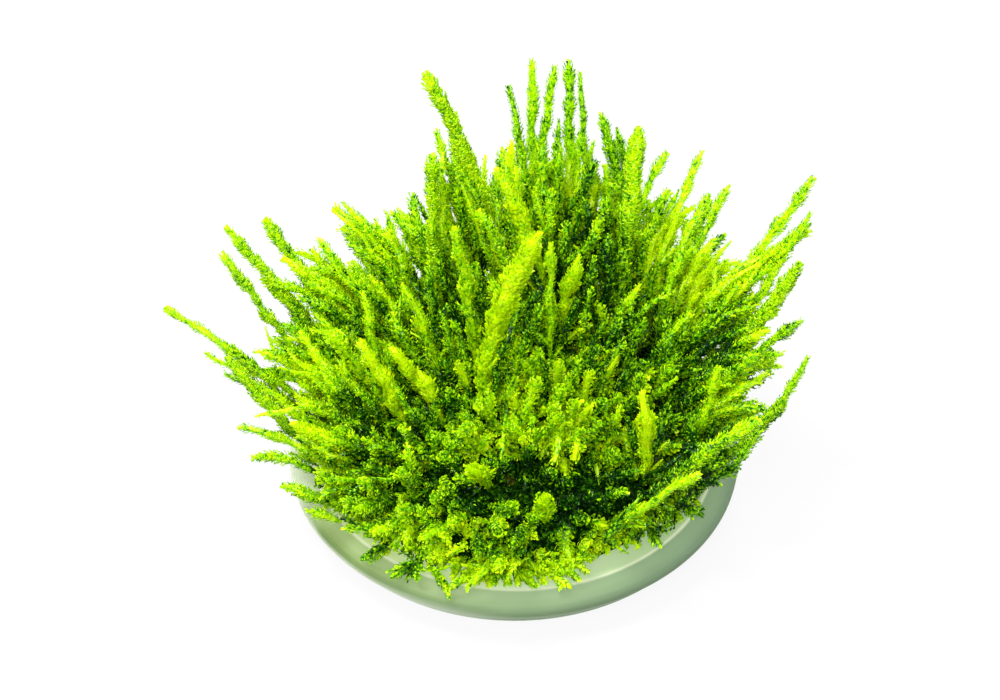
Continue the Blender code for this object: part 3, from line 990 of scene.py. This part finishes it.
def leaf_look():
    """Wet, thin moss leaves that let light through, lighter at their ends, with painted light and
    shade on the small leaf cells.
    """
    looks = Looks("moss leaves")
    grain = looks.attribute("grain", "Vector")
    distance, cell_colour = looks.cells(looks.stretched(grain, CELL_STRETCH), CELL_SCALE)
    cell_tone = looks.node("ShaderNodeSeparateColor")
    looks.link(cell_colour, cell_tone.inputs[0])
    place = looks.sum(
        (looks.attribute("tone"), 1.0),
        # Painted light in each small leaf's middle and painted shade in the gaps between leaves
        (looks.math("SUBTRACT", CELL_PAINTED_LIGHT_AND_SHADE[0], distance), CELL_PAINTED_LIGHT_AND_SHADE[1]),
        (looks.math("SUBTRACT", cell_tone.outputs[0], 0.5), CELL_TONE),
        (looks.noise(looks.place(), CLUMP_NOISE[0]), CLUMP_NOISE[1]),
        (looks.noise(looks.place(), LEAF_NOISE[0]), LEAF_NOISE[1]),
        (looks.noise(grain, GRAIN_NOISE[0]), GRAIN_NOISE[1]),
        (looks.math("SUBTRACT", looks.attribute("leaf_end"), LEAF_END[0]), LEAF_END[1]),
    )
    brown = looks.math("MULTIPLY", looks.attribute("brown"), 0.8, True)
    green = looks.mix(brown, looks.ramp(place, LEAF_GREENS), OLD_BROWN)
    through = looks.mix(brown, looks.ramp(place, THROUGH_GREENS), OLD_BROWN)
    looks.link(green, looks.shader.inputs["Base Color"])
    looks.finish(Roughness=0.32, IOR=WET_BENDING)
    looks.bump(looks.math("SUBTRACT", 1.0, distance), 0.55, 0.22 * MM)
    thin = looks.node("ShaderNodeBsdfTranslucent")
    looks.link(through, thin.inputs["Color"])
    both = looks.node("ShaderNodeMixShader")
    both.inputs["Fac"].default_value = LIGHT_THROUGH
    looks.link(looks.shader.outputs[0], both.inputs[1])
    looks.link(thin.outputs[0], both.inputs[2])
    looks.link(both.outputs[0], looks.output.inputs["Surface"])
    return looks.material


# Near-black greens: the lower stems' own dark colour, deepened by painted shade
TANGLE_GREENS_IN_PAINTED_SHADE = [
    (0.4, (0.001, 0.005, 0.001)),
    (0.52, (0.004, 0.022, 0.001)),
    (0.64, (0.03, 0.11, 0.002)),
]


def cushion_look():
    """The damp tangle of lower stems deep in the clump, near black: its own dark colour deepened by
    painted shade.
    """
    looks = Looks("dark moss tangle")
    fine = looks.noise(looks.place(), 1400, 4)
    green = looks.ramp(looks.math("ADD", fine, 0.5), TANGLE_GREENS_IN_PAINTED_SHADE)
    looks.link(green, looks.shader.inputs["Base Color"])
    looks.finish(Roughness=0.9, Specular_IOR_Level=0.0)
    looks.bump(fine, 0.9, 0.6 * MM)
    return looks.material


# The gel's colours by height, as shares of the disc's height, at its left, middle and right,
# and the colours of its top at those places. All hold painted light and shade: the side is
# darker low down and towards the right, paler at the left's foot, and the top is lighter
GEL_LEFT_PAINTED_SHADING = [
    (0.73, (0.64, 0.74, 0.54)),
    (0.83, (0.22, 0.33, 0.12)),
    (0.88, (0.27, 0.40, 0.12)),
    (0.95, (0.42, 0.57, 0.22)),
]
GEL_MIDDLE_PAINTED_SHADING = [
    (0.75, (0.20, 0.30, 0.155)),
    (0.87, (0.315, 0.455, 0.235)),
    (0.95, (0.42, 0.58, 0.31)),
]
GEL_RIGHT_PAINTED_SHADING = [
    (0.75, (0.165, 0.245, 0.145)),
    (0.87, (0.225, 0.34, 0.20)),
    (0.95, (0.305, 0.45, 0.25)),
]
# Painted light on the gel's top, less at the right than in the middle
GEL_TOP_LEFT_PAINTED_LIGHT = (0.64, 0.84, 0.31)
GEL_TOP_PAINTED_LIGHT = (0.76, 0.95, 0.56)
GEL_TOP_RIGHT_PAINTED_LIGHT = (0.48, 0.68, 0.33)
# Painted light that makes the far left nearly white
GEL_FAR_LEFT_PAINTED_LIGHT = (0.80, 0.90, 0.66)
# Painted highlight along the lip
GEL_LIP_PAINTED_HIGHLIGHT = (0.86, 0.93, 0.64)
GEL_HEIGHT = 7.5 * MM
COLOUR_REACH = 28 * MM  # from the middle to where the left or right colours are full
FAR_LEFT_REACH = 6 * MM  # over which the far left's painted light comes in
FAR_LEFT_START = 5.5  # where it begins, in times that reach from the middle
LIP_RADIUS = 35.9 * MM
TOP_BLEND = 0.8 * MM  # over which the side's colour gives way to the top's
# the width over which the lip's painted highlight fades
LIP_HIGHLIGHT_BLEND = 0.5 * MM
GEL_SHADING = 0.18  # the share of the gel's colour that lamps light; the rest comes from the painted glow
# Painted glow: how strongly the gel's colour glows, though the gel is no lamp
GEL_PAINTED_GLOW = 0.62


def gel_side_painted_shading(looks, spot, near, past, streaks):
    """The gel side's painted light and shade: darker low down and towards the right, paler at the
    far left.
    """
    rise = looks.math("DIVIDE", spot.outputs["Z"], GEL_HEIGHT)
    level = looks.sum((rise, 1.0), (streaks, 0.06))
    colour = looks.mix(near, looks.ramp(level, GEL_LEFT_PAINTED_SHADING), looks.ramp(level, GEL_MIDDLE_PAINTED_SHADING))
    colour = looks.mix(past, colour, looks.ramp(level, GEL_RIGHT_PAINTED_SHADING))
    # Painted light that makes the far left nearly white
    far = looks.sum((spot.outputs["X"], -1 / FAR_LEFT_REACH), (FAR_LEFT_START, -1.0))
    return looks.mix(far, colour, GEL_FAR_LEFT_PAINTED_LIGHT)


def gel_look():
    """Cloudy pale green gel with a painted glow, painted shade low down, painted light on its top
    and a painted highlight on its lip, with streaks around its side.
    """
    looks = Looks("cloudy green gel")
    spot = looks.node("ShaderNodeSeparateXYZ")
    looks.link(looks.place(), spot.inputs[0])
    streaks = looks.noise(looks.stretched(looks.place(), (1, 1, 22)), 60, 3)
    blotches = looks.noise(looks.place(), 30)
    near = looks.sum((spot.outputs["X"], 1 / COLOUR_REACH), (blotches, 0.4), (1.0, 1.0))
    past = looks.sum((spot.outputs["X"], 1 / COLOUR_REACH), (blotches, 0.4))
    colour = gel_side_painted_shading(looks, spot, near, past, streaks)
    away = looks.node("ShaderNodeVectorMath", operation="LENGTH")
    looks.link(looks.stretched(looks.place(), (1, 1, 0)), away.inputs[0])
    inner = looks.math("SUBTRACT", LIP_RADIUS, away.outputs["Value"])
    # Painted light on the top
    top = looks.mix(near, GEL_TOP_LEFT_PAINTED_LIGHT, looks.mix(past, GEL_TOP_PAINTED_LIGHT, GEL_TOP_RIGHT_PAINTED_LIGHT))
    colour = looks.mix(looks.sum((inner, 1 / TOP_BLEND), (0.5, 1.0)), colour, top)
    # A painted highlight along the lip's edge
    lip = looks.sum(
        (looks.math("ABSOLUTE", inner, 0.0), -1 / LIP_HIGHLIGHT_BLEND),
        (streaks, 0.8),
        (0.8, 1.0),
    )
    colour = looks.mix(lip, colour, GEL_LIP_PAINTED_HIGHLIGHT)
    # Only a share of the colour is lit by the lamps; all of it also shines as a painted glow
    shaded = looks.mix(GEL_SHADING, (0.0, 0.0, 0.0), colour)
    looks.link(shaded, looks.shader.inputs["Base Color"])
    looks.link(colour, looks.shader.inputs["Emission Color"])
    looks.finish(Emission_Strength=GEL_PAINTED_GLOW, Roughness=0.45, Specular_IOR_Level=0.12)
    looks.finish(IOR=WET_BENDING, Subsurface_Weight=1.0)
    looks.finish(Subsurface_Radius=(0.9, 1.0, 0.7), Subsurface_Scale=6 * MM)
    looks.bump(streaks, 0.12, 0.3 * MM)
    return looks.material


def floor_look():
    """A white table lit from within, so that shadows on it stay faint."""
    looks = Looks("white floor")
    looks.finish(Base_Color=(0.035, 0.035, 0.035, 1), Roughness=0.8, Specular_IOR_Level=0.0)
    looks.finish(Emission_Color=(1, 1, 1, 1), Emission_Strength=0.91)
    return looks.material


# ---------------------------------------------------------------- pieces


def shoot_nodes():
    return sorted(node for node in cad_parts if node.startswith("shoot_"))


def long_shoots(leaf, small_leaf, look):
    """One leafy shoot over each long shoot's solid."""
    for seed, node in enumerate(shoot_nodes()):
        growth = Growth(100 + seed)
        rng = growth.rng
        centres, width = read_long_shoot(node)
        route = smooth_route(centres, 2.5 * MM, rng, 0.28 * MM)
        plump = LONG_SHOOT_TONES.get(node, 0) > PLUMP_TONE
        tone = LONG_SHOOT_TONES.get(node, COMMON_TONE + rng.uniform(-0.1, 0.14))
        if plump:
            leafy_shoot(growth, leaf, route, width * LEAFY_WIDENING, tone, PLUMP, 0.1)
        else:
            leafy_shoot(growth, small_leaf, route, width * LEAFY_WIDENING, tone, SLIM)
        shares = [share for share in np.arange(0.1, 0.66, 0.07) if rng.uniform() < 0.75]
        base = min(width, WIDEST_SIDE_BASE * MM)
        side_shoots(growth, small_leaf, route, base, tone - 0.08, BUSHY, shares)
        growth.make(f"{node}_leaves", look, "moss_shoot", node, shaded=not plump)


def companion(growth, leaf, points, kind):
    """A shoot beside another one: the same curve, shorter, set a little apart and turned."""
    rng = growth.rng
    share = rng.uniform(*kind["lengths"])
    tone = mixed_tone(rng, kind["tone"], points[-1])
    apart = rng.uniform(*kind["apart"]) * MM
    spread = kind["spread"]
    root = points[0]
    angle = rng.uniform(0, math.tau)
    start = root + np.array([math.cos(angle), math.sin(angle), 0]) * apart
    reach = turned_about((points - root) * share, rng.normal(size=3), rng.normal(0, spread))
    bend = unit(rng.normal(size=3)) * np.linalg.norm(reach[-1]) * rng.uniform(0, 1.6) * spread
    along = np.linspace(0, 1, len(points))[:, None]
    line = smooth_route(start + reach + bend * along**2, 0.5 * MM, rng, 0.5 * MM)
    width = rng.uniform(*COMPANION_WIDTHS) * MM
    leafy_shoot(growth, leaf, line, width, tone, kind["style"])


def mixed_tone(rng, middle, point):
    """A shoot's tone: mostly near the middle, now and then a bright one, plus the side's painted
    light and shade.
    """
    bright = rng.uniform() < BRIGHT_SHARE
    tone = BRIGHT_TONE if bright else middle + rng.uniform(*TONE_RANGE)
    return tone + side_painted_light(point[0])


def crowd(leaf, look):
    """Shorter shoots that stand close around each long one and fill the clump out."""
    groups = {"back": Growth(51), "left": Growth(52), "right": Growth(53)}
    for node in shoot_nodes():
        side = node.split("_")[1]
        growth = groups[side if side in ("left", "right") else "back"]
        points, _ = read_long_shoot(node)
        for _ in range(2 if side in ("front", "middle") else 3):
            companion(growth, leaf, points, CROWD)
    for key, growth in groups.items():
        growth.make(f"crowd_{key}", look, "moss_shoot")


def tuft_route(rng, start, tips, apart):
    """The route of one of a tuft's shoots, which begins part of the way up."""
    tip = np.array(tips) * MM + rng.normal(0, 0.5, 3) * apart * MM
    foot = start + np.append(rng.uniform(-TUFT_SCATTER, TUFT_SCATTER, 2) * MM, 0)
    tip = foot + (tip - foot) * rng.uniform(0.8, 1.06)
    if tip[2] < LOW_TIPS * MM:
        tip = within_edge(tip)
    foot = foot + (tip - foot) * TUFT_START
    return arched_route(foot, tip, TUFT_BOW, rng, TUFT_WOBBLE * MM)


def tufts(leaf, look, mat):
    """Tufts that fan out from one root each."""
    growths = Growth(61), Growth(62)
    for i, (root, tips, number, apart, tone) in enumerate(TUFTS):
        growth = growths[i % 2]
        rng = growth.rng
        x, y = np.array(root) * MM
        start = np.array([x, y, mat.floor(x, y)])
        for _ in range(number):
            route = tuft_route(rng, start, tips, apart)
            own = tone + rng.uniform(-0.22, 0.22)
            leafy_shoot(growth, leaf, route, rng.uniform(*TUFT_WIDTHS) * MM, own, BUSHY)
            if rng.uniform() < 0.5:
                place = rng.uniform(0.35, 0.8, 1)
                side_shoots(growth, leaf, route, TUFT_SIDE_WIDTH * MM, own, SPARSE, place)
    for key, growth in zip("ab", growths):
        growth.make(f"tufts_{key}", look, "moss_shoot")


def short_shoots(leaf, look, mat):
    """The mat's short shoots, each with companions around it."""
    groups = {"back": Growth(31), "left": Growth(32), "right": Growth(33), "front": Growth(34)}
    for route in short_routes(mat.points, mat.neighbours):
        x, y = route[-1][:2] - MIDDLE
        if abs(y) > abs(x):
            key = "back" if y > 0 else "front"
        else:
            key = "right" if x > 0 else "left"
        growth = groups[key]
        rng = growth.rng
        deep = in_hollow(*route[0][:2])
        own = smooth_route(route, 0.5 * MM, rng, 0.2 * MM)
        # In the hollow the lower tone is painted shade
        tone = mixed_tone(rng, SHORT_SHOOT_TONES[deep], route[-1])
        leafy_shoot(growth, leaf, own, SHORT_SHOOT_WIDTH * MM, tone, BUSHY)
        for _ in range(0 if deep else 3):
            companion(growth, leaf, route, YOUNG)
    for key, growth in groups.items():
        growth.make(f"short_shoots_{key}", look, "lower_moss", "moss_mat")


def carpet_sprig(growth, leaf, root):
    """One small sprig that leans outwards; in the hollow it is short, and darker with painted shade.
    """
    rng = growth.rng
    x, y = root[:2]
    outward = np.array([x, y, 0]) / (SPRIG_REACH * MM)
    heading = unit(UP * 0.8 + outward * 0.9 + rng.normal(0, 0.6, 3))
    heading[2] = max(heading[2], 0.05)
    deep = in_hollow(x, y)
    reach = heading * rng.uniform(*SPRIG_LENGTHS) * MM * (HOLLOW_SHORTENING if deep else 1)
    route = arched_route(root, within_edge(root + reach), 0.2, rng, 0.2 * MM)
    tone = SPRIG_TONES[deep] + rng.uniform(-0.2, 0.3) + side_painted_light(x)
    brown = 0.8 if rng.uniform() < 0.04 else 0.0
    leafy_shoot(growth, leaf, route, rng.uniform(*SPRIG_WIDTHS) * MM, tone, SPARSE, brown=brown)


def carpet(leaf, look, mat):
    """Small sprigs all over the mat, between its shoots, in two pieces."""
    growths = Growth(41), Growth(42)
    for i in range(SPRIG_COUNT):
        growth = growths[i % 2]
        angle = i * GOLDEN_ANGLE
        reach = SPRIG_REACH * MM * math.sqrt((i + 0.5) / SPRIG_COUNT)
        x = reach * math.cos(angle) + growth.rng.uniform(-1, 1) * MM
        y = reach * math.sin(angle) + growth.rng.uniform(-1, 1) * MM
        height = mat.floor(x, y)
        if height is not None:
            carpet_sprig(growth, leaf, np.array([x, y, height - 0.5 * MM]))
    for key, growth in zip("ab", growths):
        growth.make(f"sprigs_{key}", look, "lower_moss", "moss_mat")


def rim_route(rng, mat, angle, gel_top):
    """The route of a sprig that lies out from the mat's edge, clear of the gel."""
    turn = angle + rng.uniform(-0.02, 0.02)
    out = np.array([math.cos(turn), math.sin(turn), 0])
    root = out * (mat.edge(turn) - rng.uniform(0.8, 3.5) * MM)
    root = root + UP * (mat.base + rng.uniform(0.4, 2.5) * MM)
    heading = unit(out + rng.normal(0, 0.4, 3) + UP * rng.uniform(-0.1, 0.6))
    tip = root + heading * rng.uniform(*RIM_LENGTHS) * MM
    tip[2] = max(tip[2], gel_top + RIM_CLEARANCE * MM)
    return arched_route(root, within_edge(tip), 0.12, rng, 0.1 * MM)


def rim(leaf, spray_leaf, look, mat):
    """Sprigs around the mat's edge that lie out over the gel, and longer sprays in front."""
    growth = Growth(71)
    rng = growth.rng
    gel_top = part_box("gel_disc")[1].z
    for angle in np.linspace(-math.pi, math.pi, RIM_COUNT, endpoint=False):
        route = rim_route(rng, mat, angle, gel_top)
        width = rng.uniform(*RIM_WIDTHS) * MM
        tone = mixed_tone(rng, RIM_TONE, route.points[-1])
        leafy_shoot(growth, leaf, route, width, tone, SPRAY)
    for root, tip, width in FRONT_SPRAYS:
        start = np.array([*root, SPRAY_ROOT_LEVEL]) * MM
        route = arched_route(start, np.array(tip) * MM, 0.08, rng, 0.2 * MM)
        leafy_shoot(growth, spray_leaf, route, width * MM, rng.uniform(0.4, 0.55), SPRAY)
        side_shoots(growth, spray_leaf, route, width * MM, 0.5, SPRAY, SPRAY_SIDE_PLACES)
    growth.make("rim_sprigs", look, "lower_moss", "moss_mat")


def under_cushion(mat):
    """The tangle that shows between the shoots, dark with painted shade: a lumpy dome just under the
    mat's surface.
    """
    deselect()
    bpy.ops.mesh.primitive_uv_sphere_add(
        segments=96, ring_count=40, radius=TANGLE_RADIUS, location=(0, 0, mat.base)
    )
    dome = bpy.context.object
    dome.name = "lower_tangle"
    bpy.ops.object.transform_apply(location=True, rotation=True, scale=True)
    bpy.ops.object.mode_set(mode="EDIT")
    bpy.ops.mesh.select_all(action="SELECT")
    bpy.ops.mesh.bisect(
        plane_co=(0, 0, mat.base), plane_no=(0, 0, 1), clear_inner=True, use_fill=True
    )
    bpy.ops.object.mode_set(mode="OBJECT")
    for vert in dome.data.vertices:
        if vert.co.z > mat.base + 0.1 * MM:
            height = mat.floor(vert.co.x, vert.co.y) or mat.base
            vert.co.z = max(mat.base + 0.2 * MM, height - TANGLE_DEPTH)
    dome.data.materials.append(cushion_look())
    bpy.ops.object.shade_smooth()
    dress(dome, "lower_moss", "moss_mat")


# The gel's outline, from the foot up, as shares of the disc's radius and height
GEL_FOOT = 0.893
GEL_PROFILE = [
    (0.905, 0.03),
    (0.925, 0.12),
    (0.945, 0.30),
    (0.975, 0.52),
    (0.998, 0.68),
    (1.0, 0.75),
    (0.993, 0.83),
    (0.975, 0.90),
    (0.945, 0.945),
    (0.915, 0.97),
    (0.897, 1.0),
    (0.882, 0.99),
    (0.868, 0.95),
    (0.84, 0.935),
]
GEL_TOP_RINGS = (0.7, 0.45, 0.2)
GEL_SEGMENTS = 160


def gel_piece():
    """The gel disc: a foot, a tapered side, a soft shoulder, a lip and a shallow top."""
    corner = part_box("gel_disc")[1]
    radius = corner.x
    deselect()
    bpy.ops.mesh.primitive_circle_add(
        vertices=GEL_SEGMENTS,
        radius=radius * GEL_FOOT,
        fill_type="NGON",
        enter_editmode=True,
        location=(0, 0, 0),
    )
    bpy.ops.mesh.select_all(action="SELECT")
    before = GEL_FOOT
    level = 0.0
    for share, height in GEL_PROFILE:
        rise = (0, 0, (height - level) * corner.z)
        bpy.ops.mesh.extrude_region_move(TRANSFORM_OT_translate={"value": rise})
        bpy.ops.transform.resize(value=(share / before, share / before, 1))
        before = share
        level = height
    for share in GEL_TOP_RINGS:
        bpy.ops.mesh.inset(thickness=radius * (before - share))
        before = share
    bpy.ops.mesh.select_all(action="SELECT")
    bpy.ops.mesh.normals_make_consistent(inside=False)
    bpy.ops.object.mode_set(mode="OBJECT")
    gel = bpy.context.object
    gel.name = "gel"
    gel.data.materials.append(gel_look())
    bpy.ops.object.shade_smooth_by_angle(angle=math.radians(40))
    dress(gel, "gel", "gel_disc")


# ---------------------------------------------------------------- stage

FLOOR_SIZE = 10
ROOM_LIGHT = 0.6
# Each lamp's place and width in metres, and its power in watts
LAMPS = {
    "lamp over": ((-0.25, 0.1, 0.7), 0.3, 9.5),
    "lamp before": ((-0.1, -0.5, 0.6), 0.5, 8),
    "lamp behind": ((0.1, 0.7, 0.35), 0.4, 8),
}
LAMP_AIM = Vector((0, 0, 0.03))


def stage():
    bpy.ops.mesh.primitive_plane_add(size=FLOOR_SIZE)
    floor = bpy.context.object
    floor.name = "floor"
    floor.data.materials.append(floor_look())
    world = bpy.data.worlds.new("white room")
    bpy.context.scene.world = world
    world.use_nodes = True
    sky = world.node_tree.nodes["Background"]
    sky.inputs["Color"].default_value = (1, 1, 1, 1)
    sky.inputs["Strength"].default_value = ROOM_LIGHT
    for name, (place, size, power) in LAMPS.items():
        lamp(name, place, size, power)
    bpy.context.scene.view_settings.view_transform = "Standard"


def lamp(name, place, size, power):
    data = bpy.data.lights.new(name, "AREA")
    data.shape = "DISK"
    data.size = size
    data.energy = power
    light = bpy.data.objects.new(name, data)
    bpy.context.collection.objects.link(light)
    light.location = place
    aim = LAMP_AIM - light.location
    light.rotation_euler = aim.to_track_quat("-Z", "Y").to_euler()


def camera():
    data = bpy.data.cameras.new("camera")
    data.sensor_fit = "HORIZONTAL"
    data.angle = CAMERA_FIELD
    data.clip_start = 0.01
    made = bpy.data.objects.new("camera", data)
    bpy.context.collection.objects.link(made)
    forward = Vector((0, math.cos(CAMERA_ELEVATION), -math.sin(CAMERA_ELEVATION)))
    made.location = CAMERA_TARGET - forward * CAMERA_DISTANCE
    made.rotation_euler = forward.to_track_quat("-Z", "Y").to_euler()
    bpy.context.scene.camera = made


def build():
    camera()
    stage()
    tiny_leaf = model_leaf("tiny leaf", 0.0, [], blunt=True)
    small_leaf = model_leaf("small leaf", 0.62, [(0.62, 0.3)])
    leaves = leaf_look()
    mat = Mat()
    long_shoots(small_leaf, tiny_leaf, leaves)
    crowd(tiny_leaf, leaves)
    tufts(tiny_leaf, leaves, mat)
    short_shoots(tiny_leaf, leaves, mat)
    carpet(tiny_leaf, leaves, mat)
    rim(tiny_leaf, small_leaf, leaves, mat)
    under_cushion(mat)
    gel_piece()


build()
